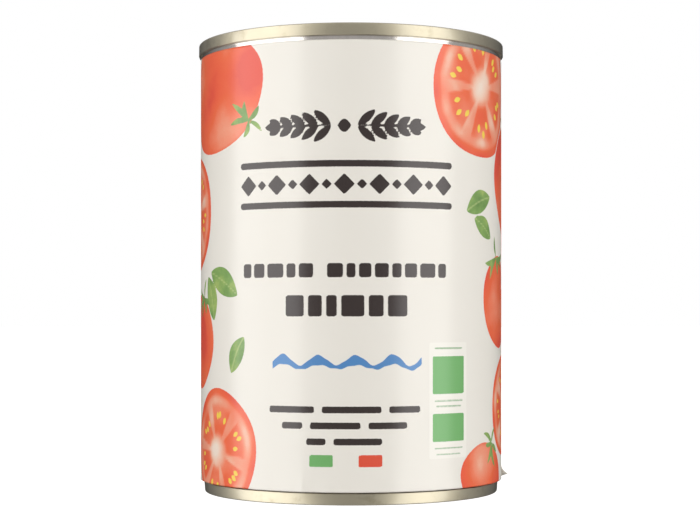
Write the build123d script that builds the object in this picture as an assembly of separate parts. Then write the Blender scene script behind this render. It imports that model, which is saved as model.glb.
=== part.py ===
from build123d import *
import math
import os

# A shut tin of peeled tomatoes: a tinplate body, a pressed end double-seamed to each rim of it,
# and a glued paper label. Millimetres, +Z up. The origin is the centre of the bottom rim, and
# the front of the label faces -Y. Angles run from the front towards +X. Sections are drawn with
# x as the radius and y as the height, and turned about the Z axis.

# The tin
can_height = 108.6
body_diameter = 73.36

# Double seams: the rolled rims where the ends grip the body. The upper one stands proud of the
# body, and the lower one is small enough to nest inside the upper one of another tin.
top_seam_overhang = 0.57
stacking_clearance = 0.1
seam_height = 2.8
seam_thickness = 1.15
seam_crown_radius = 0.38
seam_hem_radius = 0.25
top_seam_draft = 0.04
bottom_seam_draft = 0.22
hook_width = 0.65

# Pressed ends: a flat centre, rings stepping down from it, then a groove at the foot of the wall
end_gauge = 0.22
panel_depth = 3.1
groove_depth = 4.5
groove_width = 1.6
wall_draft = 0.25
ring_count = 3
ring_spacing = 6.5
ring_step = 0.3
slope_width = 0.9
press_radius = 0.35

# Necks: where the body draws in to meet its seams
top_neck_height = 1.0
bottom_neck_height = 3.2
neck_land = 0.3
neck_radius = 0.6

# Paper label: one turn of paper with its end lapped and glued over its start
paper_gauge = 0.12
label_gap_top = 0.95
label_gap_bottom = 0.2
lap_edge_angle = 88.0
lap_width = 9.0

# The free corner at the foot of the lap, which has come unstuck and stands out in a point
corner_height = 3.1
corner_width = 3.2
corner_reach = 1.6
corner_rise = 1.0

body_radius = body_diameter / 2
label_radius = body_radius + paper_gauge
label_bottom = seam_height + label_gap_bottom
label_top = can_height - seam_height - label_gap_top
top_seam_diameter = body_diameter + 2 * top_seam_overhang
bottom_seam_diameter = top_seam_diameter - 2 * (seam_thickness + stacking_clearance)


def turned(section):
    """The section revolved into a solid about the tin's axis."""
    return revolve(Plane.XZ * section, Axis.Z)


def wall_radius(seam_diameter, height):
    """Inner radius of an end's drafted wall at a height, counted up from the rim."""
    return seam_diameter / 2 - seam_thickness + wall_draft * height / groove_depth


def pressed_line(seam_diameter, top):
    """An end's outer surface from its centre up its wall to a height, with the rim at height 0."""
    wall_foot = wall_radius(seam_diameter, -groove_depth)
    groove_inside = wall_foot - groove_width
    level = -panel_depth
    chain = [(0, level)]
    for rings_outside in range(ring_count, 0, -1):
        radius = groove_inside - rings_outside * ring_spacing
        chain += [(radius, level), (radius + slope_width, level - ring_step)]
        level -= ring_step
    chain += [(groove_inside - slope_width / 2, level), (groove_inside, -groove_depth)]
    chain += [(wall_foot, -groove_depth), (wall_radius(seam_diameter, top), top)]
    return FilletPolyline(*chain, radius=press_radius)


def end_section(seam_diameter, seam_draft):
    """An end: a pressed sheet of even gauge, and the rolled seam that its wall runs up into."""
    line = pressed_line(seam_diameter, -seam_height / 2)
    sheet = make_face(offset(line, end_gauge, side=Side.RIGHT, closed=True).edges())
    outside = seam_diameter / 2
    inner_foot = (wall_radius(seam_diameter, -seam_height), -seam_height)
    hooked_foot = (outside - hook_width, -seam_height)
    rolled = FilletPolyline(
        inner_foot,
        (wall_radius(seam_diameter, 0), 0),
        (outside - seam_draft, 0),
        (outside, -seam_height),
        hooked_foot,
        radius=[seam_crown_radius, seam_crown_radius, seam_hem_radius],
    )
    return sheet + make_face(rolled.edges() + Line(hooked_foot, inner_foot).edges())


def recess_section(seam_diameter):
    """The air above an end, down to its pressed surface."""
    line = pressed_line(seam_diameter, 0)
    lid = Polyline(line @ 1, (0, 0), line @ 0)
    return make_face(line.edges() + lid.edges())


def on_top(section):
    """A section drawn with its rim at height 0, moved to the top of the tin."""
    return Pos(0, can_height) * section


def at_bottom(section):
    """A section drawn with its rim at height 0, turned over to stand at the tin's foot."""
    return mirror(section, Plane.XZ)


def body_section():
    """The body, filled right up to both ends, which take their room out of it."""
    top_neck = top_seam_diameter / 2 - hook_width
    bottom_neck = bottom_seam_diameter / 2 - hook_width
    foot = seam_height
    head = can_height - seam_height
    wall = FilletPolyline(
        (bottom_neck, foot),
        (bottom_neck, foot + neck_land),
        (body_radius, foot + bottom_neck_height),
        (body_radius, head - top_neck_height),
        (top_neck, head - neck_land),
        (top_neck, head),
        radius=neck_radius,
    )
    inside = Polyline((top_neck, head), (0, head), (0, foot), (bottom_neck, foot))
    section = make_face(wall.edges() + inside.edges())
    for seam_diameter, draft, placed in (
        (top_seam_diameter, top_seam_draft, on_top),
        (bottom_seam_diameter, bottom_seam_draft, at_bottom),
    ):
        section -= placed(end_section(seam_diameter, draft))
        section -= placed(recess_section(seam_diameter))
    return section


def around(radius, angle):
    """The plan position at a radius and an angle in degrees from the front."""
    turn = math.radians(angle)
    return radius * math.sin(turn), -radius * math.cos(turn)


def lifted_corner():
    """A pinched point of paper: a pyramid standing on the lap's edge, its tip outwards."""
    root = body_radius + 0.7 * paper_gauge
    half_angle = math.degrees(corner_width / 2 / label_radius)
    top = (*around(root, lap_edge_angle), label_bottom + corner_height)
    left = (*around(root, lap_edge_angle - half_angle), label_bottom)
    right = (*around(root, lap_edge_angle + half_angle), label_bottom)
    tip = (*around(label_radius + corner_reach, lap_edge_angle), label_bottom + corner_rise)
    base = make_face(Polyline(top, left, right, close=True))
    return loft([base, Vertex(*tip)])


def label():
    """The paper: a tube, a second layer along the lap, and the corner that has lifted."""
    bore = Circle(body_radius)
    lap_angle = math.degrees(lap_width / label_radius)
    reach = 2 * label_radius
    wedge = make_face(
        Polyline(
            (0, 0),
            around(reach, lap_edge_angle),
            around(reach, lap_edge_angle + lap_angle),
            close=True,
        )
    )
    layers = (Circle(label_radius) - bore) + ((Circle(label_radius + paper_gauge) - bore) & wedge)
    paper = extrude(layers, amount=label_top - label_bottom)
    return Pos(0, 0, label_bottom) * paper + lifted_corner()


parts = {
    "can_body": turned(body_section()),
    "top_end": turned(on_top(end_section(top_seam_diameter, top_seam_draft))),
    "bottom_end": turned(at_bottom(end_section(bottom_seam_diameter, bottom_seam_draft))),
    "paper_label": label(),
}

os.makedirs("parts", exist_ok=True)
for node, shape in parts.items():
    export_step(shape, f"parts/{node}.step")
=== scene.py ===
import math

import bpy
import numpy as np
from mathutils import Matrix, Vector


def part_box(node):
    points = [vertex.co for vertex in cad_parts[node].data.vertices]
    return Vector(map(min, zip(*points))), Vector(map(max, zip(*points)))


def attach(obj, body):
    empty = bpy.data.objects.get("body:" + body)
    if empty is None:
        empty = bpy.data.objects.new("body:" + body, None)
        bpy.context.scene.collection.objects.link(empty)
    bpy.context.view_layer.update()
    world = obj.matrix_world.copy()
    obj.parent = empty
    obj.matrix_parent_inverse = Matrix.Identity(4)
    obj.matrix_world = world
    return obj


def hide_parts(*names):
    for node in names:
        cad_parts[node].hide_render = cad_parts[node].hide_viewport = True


# A shut food tin: tinplate body, two lacquered ends, and a printed paper label. Metres, +Z up,
# the front of the label faces -Y. Angles run from the front towards +X, in degrees where named so.

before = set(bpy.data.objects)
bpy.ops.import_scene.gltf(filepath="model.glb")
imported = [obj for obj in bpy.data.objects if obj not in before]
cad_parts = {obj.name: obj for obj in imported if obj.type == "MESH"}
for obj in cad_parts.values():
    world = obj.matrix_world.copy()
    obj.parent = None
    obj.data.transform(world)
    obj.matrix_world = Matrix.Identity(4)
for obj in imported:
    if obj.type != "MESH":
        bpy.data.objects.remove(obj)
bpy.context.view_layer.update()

MM = 0.001

# Sizes read from the frame, from the lowest and highest corners of its nodes
body_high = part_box("can_body")[1]
top_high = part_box("top_end")[1]
foot_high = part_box("bottom_end")[1]
paper_low, paper_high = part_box("paper_label")
BODY_RADIUS = body_high.x
TOP_SEAM_RADIUS = top_high.x
FOOT_SEAM_RADIUS = foot_high.x
CAN_HEIGHT = top_high.z
LABEL_BOTTOM = paper_low.z
LABEL_HEIGHT = paper_high.z - paper_low.z
SEAM_HEIGHT = CAN_HEIGHT - body_high.z

# Sizes of the seams, the pressed ends and the necks
SEAM_THICKNESS = 1.15 * MM
SEAM_ROUND = 0.38 * MM
SEAM_HEM_ROUND = 0.25 * MM
HOOK_WIDTH = 0.65 * MM
END_GAUGE = 0.22 * MM
PANEL_DEPTH = 3.1 * MM
GROOVE_DEPTH = 4.5 * MM
GROOVE_WIDTH = 1.6 * MM
RING_SPACING = 6.5 * MM
RING_STEP = 0.3 * MM
SLOPE_WIDTH = 0.9 * MM
WALL_DRAFT = 0.25 * MM
PRESS_RADIUS = 0.35 * MM
FOOT_NECK_HEIGHT = 3.2 * MM
TOP_NECK_HEIGHT = 1.0 * MM
NECK_LAND = 0.3 * MM
NECK_ROUND = 0.6 * MM
TOP_SEAM_DRAFT = 0.04 * MM
FOOT_SEAM_DRAFT = 0.22 * MM
BODY_RIM = 1.0 * MM
LATHE_SIDES = 360

# Sizes of the paper, with its girth in mm because the print is laid out in mm
PAPER = 0.12 * MM
LABEL_RADIUS = BODY_RADIUS + PAPER
LAP_EDGE = 88.0
LAP_ANGLE = math.degrees(9.0 * MM / LABEL_RADIUS)
GIRTH = 2 * math.pi * LABEL_RADIUS / MM
# The free corner at the lap's foot: its size, how far its point stands out, and how far it rises
CORNER_HEIGHT = 3.1 * MM
CORNER_WIDTH = 3.4 * MM
CORNER_REACH = 1.55 * MM
CORNER_RISE = 1.0 * MM


# ---------------------------------------------------------------- shapes

def surface(name, corners, quads, triangles=()):
    """A mesh object of the given corner positions, with smooth faces of four and three corners."""
    quads = np.asarray(quads, np.int32).reshape(-1, 4)
    triangles = np.asarray(triangles, np.int32).reshape(-1, 3)
    loops = np.concatenate([quads.ravel(), triangles.ravel()])
    sizes = np.concatenate([np.full(len(quads), 4), np.full(len(triangles), 3)])
    starts = np.concatenate([[0], np.cumsum(sizes)[:-1]])
    mesh = bpy.data.meshes.new(name)
    mesh.vertices.add(len(corners))
    mesh.vertices.foreach_set("co", np.asarray(corners, np.float32).ravel())
    mesh.loops.add(len(loops))
    mesh.loops.foreach_set("vertex_index", loops)
    mesh.polygons.add(len(sizes))
    mesh.polygons.foreach_set("loop_start", starts.astype(np.int32))
    mesh.polygons.foreach_set("use_smooth", np.ones(len(sizes), bool))
    mesh.update(calc_edges=True)
    mesh.validate()
    piece = bpy.data.objects.new(name, mesh)
    bpy.context.scene.collection.objects.link(piece)
    return piece


def rounded_outline(corners, radii, steps=6):
    """Straight runs between corners, with each inner corner replaced by a tangent arc."""
    points = [np.array(corners[0], float)]
    for before, corner, after, radius in zip(corners, corners[1:], corners[2:], radii):
        corner = np.array(corner, float)
        back = np.array(before, float) - corner
        ahead = np.array(after, float) - corner
        back_length, ahead_length = np.hypot(*back), np.hypot(*ahead)
        back, ahead = back / back_length, ahead / ahead_length
        half = math.acos(np.clip(back @ ahead, -1, 1)) / 2
        reach = min(radius / math.tan(half), 0.49 * back_length, 0.49 * ahead_length)
        radius = reach * math.tan(half)
        middle = corner + (back + ahead) / np.hypot(*(back + ahead)) * radius / math.sin(half)
        start, stop = corner + back * reach - middle, corner + ahead * reach - middle
        sweep = math.atan2(start[0] * stop[1] - start[1] * stop[0], start @ stop)
        for turn in np.linspace(0, sweep, steps):
            cosine, sine = math.cos(turn), math.sin(turn)
            points.append(middle + (cosine * start[0] - sine * start[1],
                                    sine * start[0] + cosine * start[1]))
    return np.array(points + [np.array(corners[-1], float)])


def refined(outline, longest):
    """The outline with points added so that no run is longer than the given length."""
    counts = np.maximum(1, np.ceil(np.hypot(*np.diff(outline, axis=0).T) / longest)).astype(int)
    runs = [np.linspace(a, b, n, endpoint=False)
            for a, b, n in zip(outline, outline[1:], counts)]
    return np.concatenate(runs + [outline[-1:]])


def lathe(name, outline, wobble=None):
    """The outline (radius, height) turned once about Z. Its first and last points lie on the axis
    and become single corners. wobble(angle, radius, height) gives shifts in radius and height."""
    turn = np.arange(LATHE_SIDES) * 2 * math.pi / LATHE_SIDES
    radius = outline[1:-1, 0][:, None] + 0 * turn
    height = outline[1:-1, 1][:, None] + 0 * turn
    if wobble:
        out, up = wobble(turn[None, :] + 0 * radius, radius, height)
        radius, height = radius + out, height + up
    rings = np.stack([radius * np.sin(turn), -radius * np.cos(turn), height], axis=-1)
    poles = np.array([[0, 0, outline[0, 1]], [0, 0, outline[-1, 1]]])
    corners = np.concatenate([rings.reshape(-1, 3), poles])
    rows = len(outline) - 2
    here = np.arange(LATHE_SIDES)
    beside = (here + 1) % LATHE_SIDES
    base = np.arange(rows - 1)[:, None] * LATHE_SIDES
    quads = np.stack([base + here, base + beside,
                      base + LATHE_SIDES + beside, base + LATHE_SIDES + here], axis=-1)
    first, last = rows * LATHE_SIDES, rows * LATHE_SIDES + 1
    end = (rows - 1) * LATHE_SIDES
    fans = [np.stack([np.full(LATHE_SIDES, first), beside, here], axis=-1),
            np.stack([np.full(LATHE_SIDES, last), end + here, end + beside], axis=-1)]
    return surface(name, corners, quads, np.concatenate(fans))


def end_outline(seam_radius, draft):
    """Half section of an end, rim at height 0: from the underside's centre out along the sheet,
    round the rolled seam, and back along the outer face to its centre."""
    rim = seam_radius - SEAM_THICKNESS
    wall_foot = rim - WALL_DRAFT
    groove_inside = wall_foot - GROOVE_WIDTH
    level = -PANEL_DEPTH
    face = [(0, level)]
    for rings_outside in (3, 2, 1):
        radius = groove_inside - rings_outside * RING_SPACING
        face += [(radius, level), (radius + SLOPE_WIDTH, level - RING_STEP)]
        level -= RING_STEP
    face += [(groove_inside - SLOPE_WIDTH / 2, level), (groove_inside, -GROOVE_DEPTH),
             (wall_foot, -GROOVE_DEPTH)]
    under = [(r, z - END_GAUGE) for r, z in face]
    under[-1] = (wall_foot + END_GAUGE, -GROOVE_DEPTH - END_GAUGE)
    inner = rim - WALL_DRAFT * SEAM_HEIGHT / GROOVE_DEPTH + END_GAUGE
    seam = [(inner, -SEAM_HEIGHT), (seam_radius, -SEAM_HEIGHT),
            (seam_radius - draft, 0), (rim, 0)]
    corners = under + seam + face[::-1]
    radii = ([PRESS_RADIUS] * (len(under) - 1) + [0.02 * MM]
             + [SEAM_HEM_ROUND, SEAM_ROUND, SEAM_ROUND] + [PRESS_RADIUS] * (len(face) - 1))
    return rounded_outline(corners, radii)


def waves(turn, count, lowest, seed):
    """A sum of sine waves round the tin, each a whole number of times, with phases of its own."""
    source = np.random.default_rng(seed)
    total = 0 * turn
    for number in range(lowest, lowest + count):
        total = total + np.sin(number * turn + source.uniform(0, 2 * math.pi)) / math.sqrt(count)
    return total


def seam_wobble(turn, radius, height):
    """A rolled seam is a little wavy at its hem: more at the free edge, none on the panel."""
    rim = CAN_HEIGHT if height.mean() > CAN_HEIGHT / 2 else 0
    down = np.abs(height - rim) / SEAM_HEIGHT
    rolled = (radius > FOOT_SEAM_RADIUS - 0.9 * MM) * np.clip(down, 0, 1)
    lift = np.sign(rim - CAN_HEIGHT / 2) * waves(turn, 9, 14, 4) * 0.05 * MM
    return waves(turn, 8, 9, 3) * 0.02 * MM * rolled, lift * rolled ** 2


# ---------------------------------------------------------------- the paper sheet

def lap_profile(degrees):
    """Outer radius of the paper by angle. The sheet starts as the lap's upper layer, one paper
    further out, and eases down to the tin beyond the edge of the layer below."""
    past = np.clip((degrees - LAP_EDGE - LAP_ANGLE) / 2.2, 0, 1)
    return LABEL_RADIUS + PAPER * (1 - past * past * (3 - 2 * past))


# Wrinkles at the label's foot: degrees from the front, height of the fold in mm, spread in degrees
WRINKLES = [(-17.5, 0.20, 1.1), (-13.0, -0.10, 1.5), (-8.5, 0.16, 1.2), (-3.5, 0.10, 1.6),
            (31.0, 0.10, 1.6), (64.0, 0.14, 2.0)]


def paper_shifts(degrees, height):
    """Outward and upward shifts of the paper: slack ripples where the foot is unsupported, a slow
    unevenness of the wrap, and the free corner at the lap's foot, curled out to a point."""
    turn = np.radians(degrees)
    low = np.clip(1 - height / (5.5 * MM), 0, 1) ** 2
    ripples = (waves(turn, 10, 22, 11) + 0.6) * 0.05 * MM
    folds = sum(size * np.exp(-((degrees - 360 - place) / spread) ** 2)
                for place, size, spread in WRINKLES)
    out = low * (ripples + folds * MM)
    slow = waves(turn, 5, 3, 21) * np.sin(height / LABEL_HEIGHT * math.pi)
    out = out + 0.012 * MM * slow
    along = np.radians(degrees - LAP_EDGE) * LABEL_RADIUS
    free = np.clip(1 - along / CORNER_WIDTH - height / CORNER_HEIGHT, 0, 1)
    free = free * (degrees < LAP_EDGE + 20)
    out = out + CORNER_REACH * free ** 1.8
    return out, CORNER_RISE * free ** 1.2


def paper_sheet():
    """The wrapped label as a closed sheet: an outer grid of angle by height, an inner grid one
    paper closer to the tin, and strips joining them round all four edges."""
    degrees = np.concatenate([
        np.linspace(LAP_EDGE, LAP_EDGE + LAP_ANGLE, 24, endpoint=False),
        np.linspace(LAP_EDGE + LAP_ANGLE, 264, 112, endpoint=False),
        np.linspace(264, 455, 282, endpoint=False),
        np.linspace(455, 360 + LAP_EDGE + LAP_ANGLE - 0.4, 9)])
    heights = np.concatenate([np.linspace(0, 6 * MM, 18, endpoint=False),
                              np.linspace(6 * MM, LABEL_HEIGHT, 190)])
    columns, rows = len(degrees), len(heights)
    angle, height = np.meshgrid(degrees, heights)
    shift, lift = paper_shifts(angle, height)
    outer = lap_profile(angle) + shift

    def placed(radius):
        """Positions of the whole grid at a radius."""
        turn = np.radians(angle)
        up = LABEL_BOTTOM + height + lift
        return np.stack([radius * np.sin(turn), -radius * np.cos(turn), up], axis=-1)

    inner_rows = np.concatenate([np.arange(0, 18, 2), np.linspace(20, rows - 1, 6).astype(int)])
    front = placed(outer).reshape(-1, 3)
    back = placed(outer - PAPER)[inner_rows].reshape(-1, 3)
    corners = np.concatenate([front, back])
    numbers = np.arange(rows * columns).reshape(rows, columns)
    behind = rows * columns + np.arange(len(inner_rows) * columns).reshape(-1, columns)

    def grid(n):
        """Faces between neighbouring rows and columns of corner numbers."""
        return np.stack([n[:-1, :-1], n[:-1, 1:], n[1:, 1:], n[1:, :-1]], axis=-1).reshape(-1, 4)

    def strip(a, b):
        """Faces between two rows of corner numbers."""
        return np.stack([a[:-1], a[1:], b[1:], b[:-1]], axis=-1)

    quads = [grid(numbers), grid(behind)[:, ::-1],
             strip(numbers[0], behind[0])[:, ::-1], strip(numbers[-1], behind[-1])]
    # the two upright edges join rows of different counts, so each is a fan of triangles
    ends = []
    for column, flip in ((0, False), (-1, True)):
        for k in range(len(inner_rows) - 1):
            low, high = inner_rows[k], inner_rows[k + 1]
            chain = numbers[low:high + 1, column]
            fan = np.stack([np.full(high - low, behind[k, column]), chain[:-1], chain[1:]], axis=-1)
            cap = np.array([[behind[k, column], numbers[high, column], behind[k + 1, column]]])
            fan = np.concatenate([fan, cap])
            ends.append(fan[:, ::-1] if flip else fan)
    piece = surface("label_sheet", corners, np.concatenate(quads), np.concatenate(ends))
    across = (np.radians(degrees - 360) * LABEL_RADIUS / MM + GIRTH / 2) % GIRTH - GIRTH / 2
    across = np.tile(across, rows + len(inner_rows))
    upward = np.concatenate([np.repeat(heights, columns), np.repeat(heights[inner_rows], columns)])
    return piece, across, upward / MM


# ---------------------------------------------------------------- the printed design
# Each printed layer is a field over the paper: the distance in mm to the edge of its shapes,
# negative inside them. x runs along the paper from the front's middle line, y up from its foot.

def moved(x, y, centre, turn=0.0):
    """Coordinates about a centre, turned by an angle in degrees."""
    dx = (x - centre[0] + GIRTH / 2) % GIRTH - GIRTH / 2
    dy = y - centre[1]
    cosine, sine = math.cos(math.radians(turn)), math.sin(math.radians(turn))
    return cosine * dx + sine * dy, cosine * dy - sine * dx


def bar(x, y, centre, width, height, round_by=0.4, turn=0.0):
    """Distance to a rectangle with rounded corners."""
    dx, dy = moved(x, y, centre, turn)
    dx, dy = abs(dx) - width / 2 + round_by, abs(dy) - height / 2 + round_by
    outside = np.hypot(np.maximum(dx, 0), np.maximum(dy, 0))
    return outside + np.minimum(np.maximum(dx, dy), 0) - round_by


def petal(x, y, root, length, width, turn, bend=0.0):
    """Distance to a pointed oval that starts at its root: half its width follows a sine of the
    way along it, and bend curves its middle line."""
    along, aside = moved(x, y, root, turn)
    part = np.clip(along / length, 0, 1)
    aside = aside - bend * length * np.sin(part * math.pi)
    half = width / 2 * np.sin(part * math.pi) ** 0.75
    beyond = np.maximum(np.maximum(-along, along - length), 0)
    past = abs(aside) - half
    return np.hypot(beyond, np.maximum(past, 0)) + np.minimum(past, 0) * (beyond == 0)


def mottle(x, y, size, seed, count=14):
    """A soft cloudy field between about -1 and 1: plane waves of one size in random directions."""
    source = np.random.default_rng(seed)
    total = 0 * x
    for _ in range(count):
        way, phase = source.uniform(0, 2 * math.pi, 2)
        pace = source.uniform(0.6, 1.6)
        total = total + np.sin((x * math.cos(way) + y * math.sin(way)) * pace / size * 2 + phase)
    return total / math.sqrt(count) / 1.2


def whole_fruit(x, y, centre, across, up, turn, seed):
    """Edge distance and tone of a whole fruit: an ellipse with a wavering outline, darker towards
    its rim, paler where the light falls, with cloudy colour."""
    dx, dy = moved(x, y, centre, turn)
    around = np.arctan2(dy / up, dx / across)
    span = np.hypot(dx / across, dy / up) / (1 + 0.022 * waves(around, 4, 2, seed))
    shine = np.exp(-((dx / across + 0.34) / 0.30) ** 2 - ((dy / up - 0.30) / 0.34) ** 2)
    tone = 0.70 + 0.10 * span ** 3 - 0.17 * shine + 0.20 * mottle(x, y, 7.5, seed + 50)
    return (span - 1) * min(across, up), tone


def fruit_slice(x, y, centre, radius, turn, rooms, seed):
    """Edge distance and tone of a round slice: skin, a salmon wall, seed rooms between pale
    spokes, and a pale heart."""
    dx, dy = moved(x, y, centre, turn)
    around = np.arctan2(dy, dx)
    span = np.hypot(dx, dy) / radius / (1 + 0.02 * waves(around, 4, 2, seed))
    swing = np.abs(np.sin(around * rooms / 2 + 0.25 * np.sin(around + seed)))
    room = np.minimum(np.minimum((swing - 0.42) * span * 1.6, 0.74 - span), span - 0.27)
    inside = 1 / (1 + np.exp(-room / 0.022))
    skin = 1 / (1 + np.exp(-(span - 0.89) / 0.018))
    heart = np.exp(-(span / 0.22) ** 2)
    tone = 0.36 + 0.30 * inside + 0.46 * skin - 0.30 * heart + 0.10 * mottle(x, y, 3.2, seed + 70)
    return (span - 1) * radius, tone


def slice_seeds(x, y, centre, radius, turn, rooms, seed):
    """Distance to the seeds of a slice: small drops in each room, pointing at the heart."""
    source = np.random.default_rng(seed)
    nearest = np.full_like(x, 99.0)
    for room in range(rooms):
        for place in (-0.42, 0.0, 0.40):
            way = (room + 0.5 + place / 2.1) * 360 / rooms + turn + source.uniform(-3, 3)
            out = radius * source.uniform(0.44, 0.60)
            spot = (centre[0] + out * math.cos(math.radians(way)),
                    centre[1] + out * math.sin(math.radians(way)))
            nearest = np.minimum(nearest, petal(x, y, spot, radius * 0.13, radius * 0.075, way))
    return nearest


MIDDLE = -1.5        # the line that the front's design is centred on
FAR = 99.0           # a distance that is outside every shape
FRUIT_GAP = 0.35     # bare line round a fruit that lies over another
LEAF_BEND = 0.05
FRUIT = [  # kind, centre, size, turn, rooms or height
    ("whole", (-38.5, 92.0), 17.5, 12.0, 14.0),
    ("slice", (-55.0, 64.5), 14.0, 20.0, 5),
    ("whole", (-50.5, 33.5), 10.5, -20.0, 11.5),
    ("slice", (-37.5, 8.0), 14.5, 50.0, 6),
    ("slice", (36.0, 93.0), 16.5, 5.0, 6),
    ("whole", (56.0, 72.0), 12.0, 30.0, 13.5),
    ("whole", (47.0, 43.0), 10.0, 15.0, 11.0),
    ("slice", (54.5, 18.0), 12.5, 80.0, 5),
    ("whole", (38.0, 1.5), 10.0, -10.0, 8.5),
    ("whole", (-84.0, 88.0), 14.0, 5.0, 12.0),
    ("slice", (-78.0, 10.0), 13.0, 15.0, 5),
    ("slice", (88.0, 88.0), 14.0, 35.0, 6),
    ("whole", (84.0, 6.0), 13.0, -12.0, 11.5),
]
SEPALS = [  # root, spread of the star in mm, turn of its stalk
    ((-46.5, 44.0), 8.0, 68.0),
    ((45.0, 53.6), 8.5, 105.0),
    ((57.5, 85.5), 8.0, 80.0),
    ((41.5, 9.6), 7.0, 60.0),
    ((-25.5, 84.5), 8.0, -35.0),
    ((-84.0, 99.0), 7.0, 90.0),
    ((84.0, 17.0), 7.5, 80.0),
]
LEAVES = [  # root, length, width, turn
    ((-41.0, 50.0), 13.0, 6.2, -25.0),
    ((-43.0, 49.0), 11.0, 5.6, -70.0),
    ((-31.5, 26.5), 9.5, 4.8, 62.0),
    ((30.0, 64.0), 11.0, 5.4, 20.0),
    ((33.0, 62.5), 9.0, 4.6, -30.0),
    ((66.0, 46.0), 12.0, 6.0, 10.0),
    ((-66.0, 44.0), 12.0, 6.0, 160.0),
]

# Rules and bars in brown ink, where words would stand: middle x and y, length, height, rounding
BROWN_BARS = [
    (MIDDLE, 74.0, 53.0, 1.5, 0.7), (MIDDLE, 64.8, 53.0, 1.5, 0.7),
]
# Word blocks: line height, block height, gap, start, and the widths of the blocks by word
BLOCK_LINES = [
    (50.0, 3.2, 0.8, -27.0, ((2.4, 3.0, 4.2, 2.2, 3.4), (3.6, 2.0, 2.8, 3.2, 2.2, 3.0, 4.0, 2.2))),
    (42.0, 4.8, 1.0, -15.2, ((4.4, 3.2, 2.4, 5.2, 3.4, 4.6),)),
]
for height, tall, gap, start, words in BLOCK_LINES:
    for word in words:
        for width in word:
            BROWN_BARS.append((start + width / 2, height, width, tall, 0.5))
            start += width + gap
        start += 2.4
# Small lines: height, and the lengths of the bars
SMALL_LINES = [(18.6, (11.0, 13.5, 7.5)), (15.0, (5.0, 11.5, 9.0)), (11.4, (4.5, 11.0))]
for line_height, words in SMALL_LINES:
    reach = sum(words) + 1.8 * (len(words) - 1)
    start = -1.6 - reach / 2
    for word in words:
        BROWN_BARS.append((start + word / 2, line_height, word, 1.5, 0.4))
        start += word + 1.8
# Two columns of thin bars on the back: middle x, and the number of lines
for panel_middle, lines in ((-92.0, 15), (103.0, 12)):
    for line in range(lines):
        length = 24 - 5 * abs(math.sin(2.3 * line))
        BROWN_BARS.append((panel_middle - 13 + length / 2, 68 - 2.9 * line, length, 0.95, 0.3))
# A row of lozenges, large and small in turn, between the two rules of the name band
BAND_GEMS = [(MIDDLE + 4.0 * step, 69.4, 3.4 if step % 2 == 0 else 1.7) for step in range(-6, 7)]
# Leaves in pairs along a stem each side of a gem: root x and y, length, width, turn
SPRAY_HEIGHT = 82.5
SPRAY = [(MIDDLE - 1.5, SPRAY_HEIGHT, 3.0, 3.0, 0.0)]
for side, outward in ((-1, 180), (1, 0)):
    for step in range(5):
        root = MIDDLE + side * (3.0 + 3.0 * step)
        for lean in (-1, 1):
            way = outward + side * lean * (42 - 3 * step)
            SPRAY.append((root, SPRAY_HEIGHT, 5.4 - 0.5 * step, 1.9, way))
    SPRAY.append((MIDDLE + side * 3.0, SPRAY_HEIGHT, 15.0, 0.6, outward))
    SPRAY.append((MIDDLE + side * 14.6, SPRAY_HEIGHT, 4.6, 2.0, outward))
# Each bar below: its middle, length, height and rounding
PALE_PATCHES = [((24.2, 20.4), 11.2, 26.5, 0.3), ((-92.0, 47.0), 34.0, 50.0, 1.0)]
GREEN_FIELDS = [((24.2, 26.2), 9.4, 8.6, 0.1), ((24.2, 14.2), 9.4, 6.4, 0.1),
                ((-6.8, 7.1), 5.4, 2.7, 0.1)]
RED_FIELDS = [((4.4, 7.1), 5.4, 2.7, 0.1)]
HAIR_LINES = [((24.2, 32.3), 8.4, 0.45, 0.1), ((24.2, 20.4), 8.6, 0.5, 0.1),
              ((24.2, 19.0), 7.6, 0.5, 0.1), ((24.2, 9.4), 8.6, 0.45, 0.1),
              ((24.2, 8.2), 7.4, 0.45, 0.1)]


def fruit_fields(x, y):
    """Edge distance and tone of all the fruit, each laid over those before it with a bare line
    round it, and the distance to the seeds that still show."""
    edge = np.full_like(x, FAR)
    tone = np.full_like(x, 0.6)
    seeds = np.full_like(x, FAR)
    for number, (kind, centre, size, turn, other) in enumerate(FRUIT):
        if kind == "whole":
            own, shade = whole_fruit(x, y, centre, size, other, turn, number)
        else:
            own, shade = fruit_slice(x, y, centre, size, turn, other, number)
        edge = np.minimum(np.maximum(edge, FRUIT_GAP - own), own)
        tone = np.where(own < FRUIT_GAP, shade, tone)
        seeds = np.where(own < 0, FAR, seeds)
        if kind == "slice":
            seeds = np.minimum(seeds, slice_seeds(x, y, centre, size, turn, other, number))
    return edge, tone, seeds


def leaf_fields(x, y):
    """Distance to the greenery, and to the ribs and side veins of the single leaves."""
    green = np.full_like(x, FAR)
    vein = np.full_like(x, FAR)
    for number, (root, size, turn) in enumerate(SEPALS):
        for blade in range(5):
            way = turn + 180 + (blade - 2) * 47 + 9 * math.sin(3 * number + 2 * blade)
            length = size * (0.72 + 0.2 * math.sin(1.7 * blade + number))
            bend = 0.12 * math.cos(2.1 * blade + number)
            green = np.minimum(green, petal(x, y, root, length, size * 0.17, way, bend))
        green = np.minimum(green, petal(x, y, root, size * 0.62, size * 0.13, turn, 0.10))
    for root, length, width, turn in LEAVES:
        own = petal(x, y, root, length, width, turn, LEAF_BEND)
        along, aside = moved(x, y, root, turn)
        part = np.clip(along / length, 0, 1)
        rib = abs(aside - LEAF_BEND * length * np.sin(part * math.pi)) - 0.22
        side = abs(np.sin((along - 0.55 * abs(aside)) * 2.1)) * 0.9 + 0.05
        vein = np.where(own < 0.2, np.minimum(rib, side), vein)
        green = np.minimum(green, own)
    return green, vein


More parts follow.
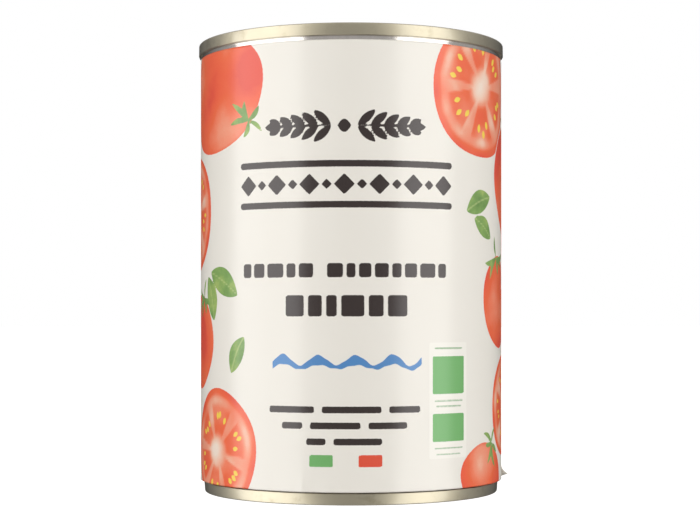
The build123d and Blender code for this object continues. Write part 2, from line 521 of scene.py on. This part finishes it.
def brown_field(x, y):
    """Distance to everything in brown ink: bars, the leafy spray and the band of lozenges."""
    bars = [bar(x, y, (u, v), w, h, r) for u, v, w, h, r in BROWN_BARS]
    spray = [petal(x, y, (u, v), w, h, t, 0.0) for u, v, w, h, t in SPRAY]
    gems = [bar(x, y, (u, v), size, size, 0.2, 45.0) for u, v, size in BAND_GEMS]
    return np.minimum.reduce(bars + spray + gems)


def stroke_field(x, y):
    """Distance to the blue stroke: a sine wave whose height and thickness change along it."""
    wave = 1.15 * np.sin((x + 18) * 0.74) * (1 - 0.35 * np.sin((x + 20) * 0.09))
    thick = 0.62 + 0.26 * np.sin(x * 0.74 + 0.9) + 0.08 * np.sin(x * 2.3)
    return np.maximum(abs(y - 29.0 - wave) * 0.78 - thick, abs(x + 1.0) - 17.6)


def bars_field(x, y, bars):
    """Distance to the nearest of several bars."""
    return np.minimum.reduce([bar(x, y, *each) for each in bars])


def printed_fields(x, y):
    """Every printed layer's field, by the name of the attribute that carries it."""
    fruit_edge, fruit_tone, seed_edge = fruit_fields(x, y)
    leaf_edge, leaf_vein = leaf_fields(x, y)
    return {
        "fruit_edge": fruit_edge, "fruit_tone": fruit_tone, "seed_edge": seed_edge,
        "leaf_edge": leaf_edge, "leaf_vein": leaf_vein,
        "brown_edge": brown_field(x, y), "blue_edge": stroke_field(x, y),
        "patch_edge": bars_field(x, y, PALE_PATCHES),
        "green_edge": bars_field(x, y, GREEN_FIELDS),
        "red_edge": bars_field(x, y, RED_FIELDS),
        "hair_edge": bars_field(x, y, HAIR_LINES),
    }


# ---------------------------------------------------------------- materials

class Value:
    """A number that varies over a surface. Python's operators on it add Math nodes."""

    def __init__(self, paint, socket):
        self.paint, self.socket = paint, socket

    def join(self, operation, *values):
        """The result of one Math node on the given values."""
        node = self.paint.node("Math", {"operation": operation}, dict(enumerate(values)))
        return Value(self.paint, node.outputs[0])

    def __add__(self, other):
        return self.join("ADD", self, other)

    def __radd__(self, other):
        return self.join("ADD", other, self)

    def __sub__(self, other):
        return self.join("SUBTRACT", self, other)

    def __rsub__(self, other):
        return self.join("SUBTRACT", other, self)

    def __mul__(self, other):
        return self.join("MULTIPLY", self, other)

    def __rmul__(self, other):
        return self.join("MULTIPLY", other, self)


class Paint:
    """A material under construction, with one Principled shader at its end."""

    def __init__(self, name, uniform):
        self.material = bpy.data.materials.new(name)
        self.material.use_nodes = True
        self.tree = self.material.node_tree
        self.shader = self.tree.nodes["Principled BSDF"]
        for socket, value in uniform.items():
            self.shader.inputs[socket].default_value = value

    def node(self, kind, settings=None, sockets=None):
        """A shader node of a kind, its settings made first, then its sockets' values or links."""
        made = self.tree.nodes.new("ShaderNode" + kind)
        for key, value in (settings or {}).items():
            if key == "stops":
                self.set_stops(made.color_ramp, value)
            else:
                setattr(made, key, value)
        for key, value in (sockets or {}).items():
            source = value.socket if isinstance(value, Value) else value
            if isinstance(source, bpy.types.NodeSocket):
                self.tree.links.new(source, made.inputs[key])
            else:
                made.inputs[key].default_value = source
        return made

    @staticmethod
    def set_stops(ramp, stops):
        """Gives a ramp its stops, each a place and a colour."""
        while len(ramp.elements) < len(stops):
            ramp.elements.new(0.5)
        for element, (place, colour) in zip(ramp.elements, stops):
            element.position, element.color = place, colour

    def feed(self, socket, value):
        """Links a value or a colour to one of the shader's sockets."""
        source = value.socket if isinstance(value, Value) else value
        self.tree.links.new(source, self.shader.inputs[socket])

    def field(self, name):
        """A number carried by the piece's own attribute."""
        return Value(self, self.node("Attribute", {"attribute_name": name}).outputs["Fac"])

    def noise(self, place, scale, detail=2.0, roughness=0.5):
        """Cloudy noise from 0 to 1, with its scale per unit of the place."""
        node = self.node("TexNoise", {}, {"Vector": place, "Scale": scale, "Detail": detail,
                                          "Roughness": roughness})
        return Value(self, node.outputs[0])

    def band(self, value, low, high, at_low=0.0, at_high=1.0):
        """A smooth change from one number to another as value goes from low to high."""
        node = self.node("MapRange", {"interpolation_type": "SMOOTHSTEP"},
                         {0: value, 1: low, 2: high, 3: at_low, 4: at_high})
        return Value(self, node.outputs[0])

    def inside(self, edge, soft=0.07):
        """One inside a printed shape and nothing outside it."""
        return self.band(edge, -soft, soft, 1.0, 0.0)

    def mix(self, factor, first, second):
        """The first colour, with the second laid over it by the factor."""
        node = self.node("Mix", {"data_type": "RGBA"}, {0: factor, 6: first, 7: second})
        return node.outputs[2]

    def ramp(self, value, stops):
        """A colour picked from the stops by a value."""
        return self.node("ValToRGB", {"stops": stops}, {0: value}).outputs[0]

    def stretched(self, place, scale):
        """Coordinates multiplied along each axis, for grain and scratches."""
        return self.node("Mapping", {}, {"Vector": place, "Scale": scale}).outputs[0]

    def bump(self, height, strength, distance):
        """Fine relief from a height, fed to the shader's normal."""
        node = self.node("Bump", {}, {"Height": height, "Strength": strength, "Distance": distance})
        self.feed("Normal", node.outputs[0])


def tint(red, green, blue):
    """A colour given as on a printer's chart, 0 to 255, as linear light."""
    parts = [c / 255 for c in (red, green, blue)]
    return tuple(c / 12.92 if c <= 0.04045 else ((c + 0.055) / 1.055) ** 2.4 for c in parts) + (1.0,)


# Inks, paper and metals
CREAM = tint(236, 231, 221)
CREAM_SHADE = tint(232, 227, 217)
PALE_PATCH = tint(240, 236, 226)
DEEP_RED = tint(228, 76, 44)
SEED_YELLOW = tint(243, 208, 66)
LEAF_DARK = tint(86, 128, 58)
LEAF_GREEN = tint(120, 158, 78)
LEAF_LIGHT = tint(166, 186, 98)
VEIN_GREEN = tint(190, 204, 130)
FIELD_GREEN = tint(108, 172, 98)
FIELD_RED = tint(222, 74, 44)
HAIR_GREEN = tint(150, 178, 140)
STROKE_BLUE = tint(74, 132, 190)
INK_BROWN = tint(44, 31, 27)
LACQUER = tint(196, 187, 163)
LACQUER_SHADE = tint(184, 175, 150)
SPECK = tint(70, 58, 46)
WORN = tint(150, 138, 110)
TIN_BRIGHT = tint(226, 220, 214)
TIN_SHADE = tint(206, 200, 194)

# The fruit's colours, from its palest flesh to its deepest skin
FRUIT_STOPS = [
    (0.00, tint(243, 222, 205)),
    (0.18, tint(243, 196, 170)),
    (0.36, tint(240, 154, 122)),
    (0.52, tint(240, 125, 88)),
    (0.68, tint(236, 98, 50)),
    (0.86, tint(234, 86, 45)),
    (1.00, tint(224, 68, 40)),
]

PAPER_GLOSS = 0.75


def printed_paper():
    """Coated cream paper with the print laid on layer by layer, each edge slightly ragged."""
    paint = Paint("printed_paper", {"Specular IOR Level": PAPER_GLOSS})
    place = paint.node("UVMap", {"uv_map": "paper"}).outputs[0]
    rag = (paint.noise(place, 160.0, 3.0) - 0.5) * 0.22
    cloud = paint.noise(place, 14.0, 4.0, 0.6) - 0.5
    grit = paint.noise(place, 420.0, 3.0, 0.7) - 0.5
    colour = paint.mix(paint.noise(place, 5.0, 2.0), CREAM, CREAM_SHADE)
    colour = paint.mix(paint.inside(paint.field("patch_edge")), colour, PALE_PATCH)
    tone = paint.field("fruit_tone") + cloud * 0.34 + grit * 0.16
    fruit = paint.ramp(tone, FRUIT_STOPS)
    fruit_edge = paint.field("fruit_edge") + rag
    colour = paint.mix(paint.inside(fruit_edge), colour, fruit)
    wet = paint.band(fruit_edge, -0.9, -0.1) * paint.inside(fruit_edge)
    colour = paint.mix(wet * 0.3, colour, DEEP_RED)
    colour = paint.mix(paint.inside(paint.field("seed_edge")), colour, SEED_YELLOW)
    leaf = paint.ramp(cloud + 0.5, [(0.30, LEAF_DARK), (0.5, LEAF_GREEN),
                                    (0.70, LEAF_LIGHT)])
    leaf_edge = paint.field("leaf_edge") + rag * 0.6
    colour = paint.mix(paint.inside(leaf_edge), colour, leaf)
    vein = paint.inside(paint.field("leaf_vein"), 0.12) * paint.inside(leaf_edge)
    colour = paint.mix(vein * 0.5, colour, VEIN_GREEN)
    for name, ink in (("green_edge", FIELD_GREEN), ("red_edge", FIELD_RED),
                      ("hair_edge", HAIR_GREEN), ("blue_edge", STROKE_BLUE),
                      ("brown_edge", INK_BROWN)):
        colour = paint.mix(paint.inside(paint.field(name) + rag * 0.5), colour, ink)
    paint.feed("Base Color", colour)
    paint.feed("Roughness", 0.20 + paint.noise(place, 60.0, 3.0) * 0.09)
    paint.bump(paint.noise(place, 300.0, 4.0, 0.6), 0.12, 0.02 * MM)
    return paint.material


def lacquered_tinplate():
    """Satin tinplate under pale gold lacquer: cloudy tone, rolled grain, a few specks."""
    paint = Paint("lacquered_tinplate", {"Metallic": 1.0, "Coat Weight": 1.0, "Coat Roughness": 0.14})
    place = paint.node("TexCoord").outputs["Object"]
    cloud = paint.noise(place, 90.0, 4.0, 0.6)
    grain = paint.noise(paint.stretched(place, (300.0, 300.0, 2600.0)), 1.0, 3.0)
    colour = paint.mix(cloud, LACQUER, LACQUER_SHADE)
    specks = paint.node("TexVoronoi", {}, {"Vector": place, "Scale": 420.0})
    spots = paint.band(Value(paint, specks.outputs["Distance"]), 0.05, 0.09, 1.0, 0.0)
    rare = paint.band(paint.noise(place, 300.0, 1.0), 0.66, 0.70)
    colour = paint.mix(spots * rare, colour, SPECK)
    worn = paint.band(paint.noise(place, 210.0, 5.0, 0.7), 0.50, 0.72) * 0.45
    colour = paint.mix(worn, colour, WORN)
    paint.feed("Base Color", colour)
    paint.feed("Roughness", 0.30 + cloud * 0.10 + grain * 0.06)
    paint.bump(grain * 0.6 + cloud, 0.25, 0.01 * MM)
    return paint.material


def bright_tinplate():
    """Bare tinplate: nearly a mirror, with fine streaks up the body."""
    paint = Paint("bright_tinplate", {"Metallic": 1.0})
    place = paint.node("TexCoord").outputs["Object"]
    streaks = paint.noise(paint.stretched(place, (900.0, 900.0, 60.0)), 1.0, 3.0)
    paint.feed("Base Color", paint.mix(streaks, TIN_BRIGHT, TIN_SHADE))
    paint.feed("Roughness", 0.08 + streaks * 0.12)
    paint.bump(streaks, 0.2, 0.01 * MM)
    return paint.material


# ---------------------------------------------------------------- pieces and their places

def carry(piece, across, upward):
    """Gives the paper its own map, in decimetres along and up, and its printed fields."""
    mesh = piece.data
    corner = np.zeros(len(mesh.loops), np.int32)
    mesh.loops.foreach_get("vertex_index", corner)
    places = np.stack([across, upward], axis=-1)[corner] / 100
    layer = mesh.uv_layers.new(name="paper")
    layer.uv.foreach_set("vector", places.astype(np.float32).ravel())
    for name, field in printed_fields(across, upward).items():
        attribute = mesh.attributes.new(name, "FLOAT", "POINT")
        attribute.data.foreach_set("value", field.astype(np.float32))


def dress(piece, material, node):
    """The piece's material, its body, and the CAD node that it stands for."""
    piece.data.materials.append(material)
    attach(piece, "root")
    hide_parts(node)


def body_outline():
    """Half section of the closed body, flat and set back inside a rim at its foot and its head,
    with a neck drawing in to each rim."""
    foot, head = SEAM_HEIGHT, CAN_HEIGHT - SEAM_HEIGHT
    low_neck, high_neck = FOOT_SEAM_RADIUS - HOOK_WIDTH, TOP_SEAM_RADIUS - HOOK_WIDTH
    set_back = 2 * MM
    corners = [(0, foot + set_back), (low_neck - BODY_RIM, foot + set_back),
               (low_neck - BODY_RIM, foot),
               (low_neck, foot), (low_neck, foot + NECK_LAND),
               (BODY_RADIUS, foot + FOOT_NECK_HEIGHT), (BODY_RADIUS, head - TOP_NECK_HEIGHT),
               (high_neck, head - NECK_LAND), (high_neck, head), (high_neck - BODY_RIM, head),
               (high_neck - BODY_RIM, head - set_back), (0, head - set_back)]
    radii = [0.1 * MM, 0.1 * MM, 0.05 * MM, NECK_ROUND, NECK_ROUND, NECK_ROUND, NECK_ROUND,
             0.05 * MM, 0.1 * MM, 0.1 * MM]
    return refined(rounded_outline(corners, radii), 4 * MM)


# ---------------------------------------------------------------- floor, light and camera

# Brightness of the reflected panels, of the fill lights, and of the room by direction
PANEL_GLOW = 1.85
FILL_GLOW = 2.28
ROOM_FRONT = 0.52
ROOM_BACK = 0.06
ROOM_ABOVE = 0.75

# The panels that show as bands of gloss: name, distance to the side, place in depth, depth
PANEL_HEIGHT = 1.8
PANEL_LEVEL = 0.06
PANELS = [("left_panel", -0.60, -0.385, 0.88), ("right_panel", 0.60, -0.5025, 0.735)]

# The ring of fill lights, with each one's share of the glow, from the front towards +X
FILL_DISTANCE = 1.3
FILL_LEVEL = 0.35
FILL_SIDE = 0.9
FILL_SHARES = (0.96, 1.2, 0.9, 0.9, 1.2, 0.96)


def floor_sheet():
    """A flat round floor, paler than paper, seen only by the camera."""
    turn = np.arange(64) * 2 * math.pi / 64
    ring = np.stack([6 * np.sin(turn), -6 * np.cos(turn), 0 * turn], axis=-1)
    fan = np.stack([np.full(64, 64), np.arange(64), (np.arange(64) + 1) % 64], axis=-1)
    floor = surface("floor", np.concatenate([ring, [[0, 0, 0]]]), [], fan)
    paint = Paint("floor_white", {"Roughness": 0.9, "Base Color": (0.3, 0.3, 0.3, 1.0),
                                  "Emission Color": (1.0, 1.0, 1.0, 1.0),
                                  "Emission Strength": 0.92})
    floor.data.materials.append(paint.material)
    floor.visible_diffuse = False
    floor.visible_glossy = False


def panel_light(name, centre, aim, width, height, radiance, reflected):
    """A soft panel that faces a point. It is either seen in reflections or lights dull surfaces."""
    data = bpy.data.lights.new(name, "AREA")
    data.shape = "RECTANGLE"
    data.size, data.size_y = width, height
    data.energy = radiance * math.pi * width * height
    light = bpy.data.objects.new(name, data)
    bpy.context.scene.collection.objects.link(light)
    light.location = centre
    way = np.array(aim, float) - np.array(centre, float)
    light.rotation_euler = (math.atan2(math.hypot(way[0], way[1]), -way[2]), 0,
                            math.atan2(way[1], way[0]) - math.pi / 2)
    light.visible_glossy = reflected
    light.visible_diffuse = not reflected
    light.visible_camera = False


def studio():
    """A room dim behind the tin and brighter in front and overhead. The camera sees it white."""
    world = bpy.data.worlds.new("studio")
    bpy.context.scene.world = world
    world.use_nodes = True
    tree = world.node_tree
    tree.nodes.clear()
    place = tree.nodes.new("ShaderNodeTexCoord")
    parts = tree.nodes.new("ShaderNodeSeparateXYZ")
    depth = tree.nodes.new("ShaderNodeMapRange")
    ramp = tree.nodes.new("ShaderNodeMapRange")
    seen = tree.nodes.new("ShaderNodeLightPath")
    room = tree.nodes.new("ShaderNodeBackground")
    backdrop = tree.nodes.new("ShaderNodeBackground")
    choose = tree.nodes.new("ShaderNodeMixShader")
    output = tree.nodes.new("ShaderNodeOutputWorld")
    for number, value in ((1, 0.25), (2, 0.95), (3, ROOM_FRONT), (4, ROOM_BACK)):
        depth.inputs[number].default_value = value
    for number, value in ((1, 0.2), (2, 0.8), (4, ROOM_ABOVE)):
        ramp.inputs[number].default_value = value
    backdrop.inputs["Color"].default_value = (1.0, 1.0, 1.0, 1.0)
    tree.links.new(place.outputs["Generated"], parts.inputs[0])
    tree.links.new(parts.outputs["Y"], depth.inputs[0])
    tree.links.new(parts.outputs["Z"], ramp.inputs[0])
    tree.links.new(depth.outputs[0], ramp.inputs[3])
    tree.links.new(ramp.outputs[0], room.inputs["Strength"])
    tree.links.new(seen.outputs["Is Camera Ray"], choose.inputs[0])
    tree.links.new(room.outputs[0], choose.inputs[1])
    tree.links.new(backdrop.outputs[0], choose.inputs[2])
    tree.links.new(choose.outputs[0], output.inputs[0])


def camera():
    """A level camera in front of the label, a little below the middle of the tin, with a small
    shift that frames the tin."""
    data = bpy.data.cameras.new("camera")
    data.lens, data.sensor_width = 86.9, 36.0
    data.shift_x, data.shift_y = -0.0014, 0.08
    data.clip_start = 0.01
    eye = bpy.data.objects.new("camera", data)
    bpy.context.scene.collection.objects.link(eye)
    eye.location = (0.0, -0.416, 0.0427)
    eye.rotation_euler = (math.radians(90), 0.0, 0.0)
    bpy.context.scene.camera = eye


# ---------------------------------------------------------------- the tin in its studio

gold = lacquered_tinplate()
top = end_outline(TOP_SEAM_RADIUS, TOP_SEAM_DRAFT) + (0, CAN_HEIGHT)
dress(lathe("top_end_lacquered", top, seam_wobble), gold, "top_end")
foot = (end_outline(FOOT_SEAM_RADIUS, FOOT_SEAM_DRAFT) * (1, -1))[::-1]
dress(lathe("bottom_end_lacquered", foot, seam_wobble), gold, "bottom_end")
dress(lathe("body_tinplate", body_outline()), bright_tinplate(), "can_body")
label, across, upward = paper_sheet()
carry(label, across, upward)
dress(label, printed_paper(), "paper_label")

floor_sheet()
studio()
for name, aside, depth, width in PANELS:
    panel_light(name, (aside, depth, PANEL_LEVEL), (0, depth, PANEL_LEVEL),
                width, PANEL_HEIGHT, PANEL_GLOW, True)
for step, share in enumerate(FILL_SHARES):
    way = math.radians(30 + 60 * step)
    place = (FILL_DISTANCE * math.sin(way), -FILL_DISTANCE * math.cos(way), FILL_LEVEL)
    panel_light("fill_%d" % step, place, (0, 0, 0.05), FILL_SIDE, FILL_SIDE, FILL_GLOW * share, False)
camera()
bpy.context.scene.view_settings.view_transform = "Standard"
